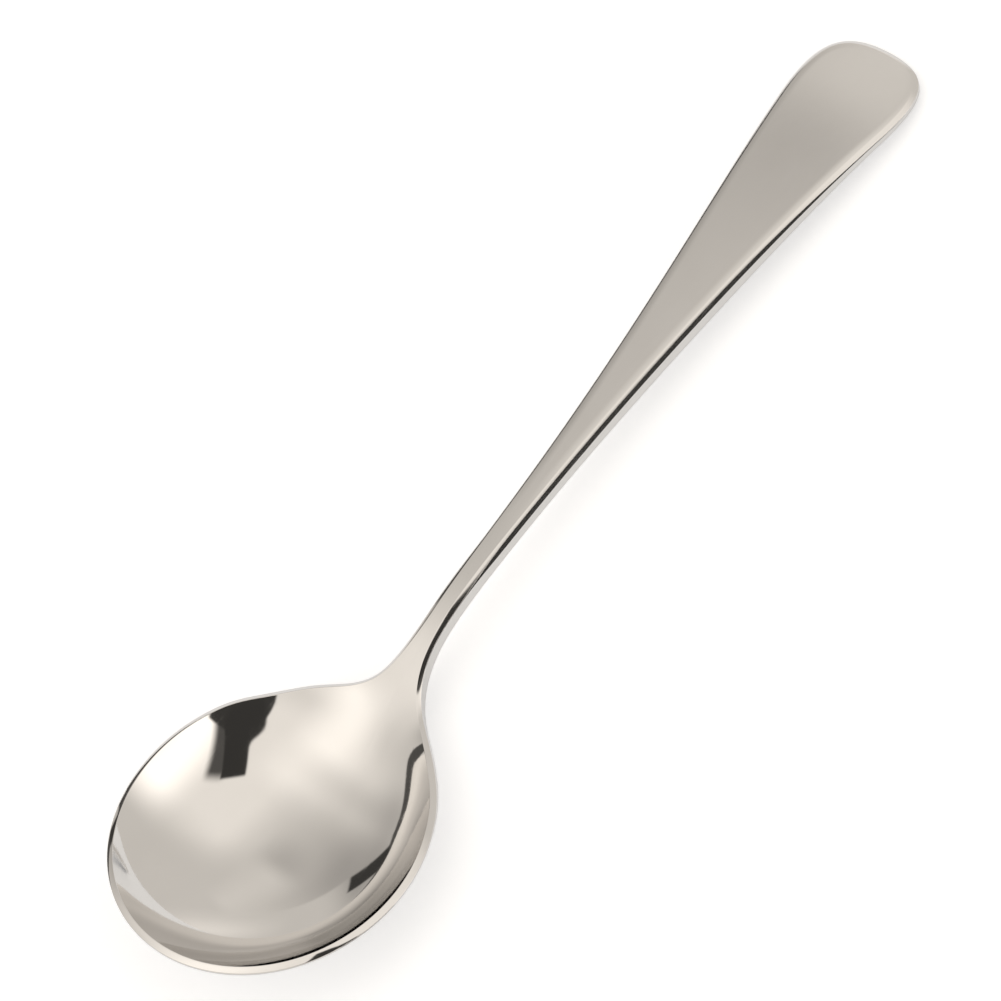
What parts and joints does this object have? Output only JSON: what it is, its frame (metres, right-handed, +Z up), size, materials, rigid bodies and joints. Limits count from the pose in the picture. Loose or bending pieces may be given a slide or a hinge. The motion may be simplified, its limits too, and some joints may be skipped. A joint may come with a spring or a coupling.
{
  "type": "soup spoon",
  "caption": "Round-bowled soup spoon pressed from polished stainless steel, with a slim raised neck and a long handle that widens to a rounded, gently drooping end.",
  "frame": {"origin": "on the table under the middle of the spoon's length and width, as it rests on bowl and handle tip", "axes": "+X from the bowl to the handle's tip, +Y across, +Z up"},
  "size_m": [0.1869, 0.0532, 0.0185],
  "materials": {
    "steel": "mirror polished"
  },
  "bodies": {
    "root": {"soup_spoon": "steel"}
  },
  "joints": []
}
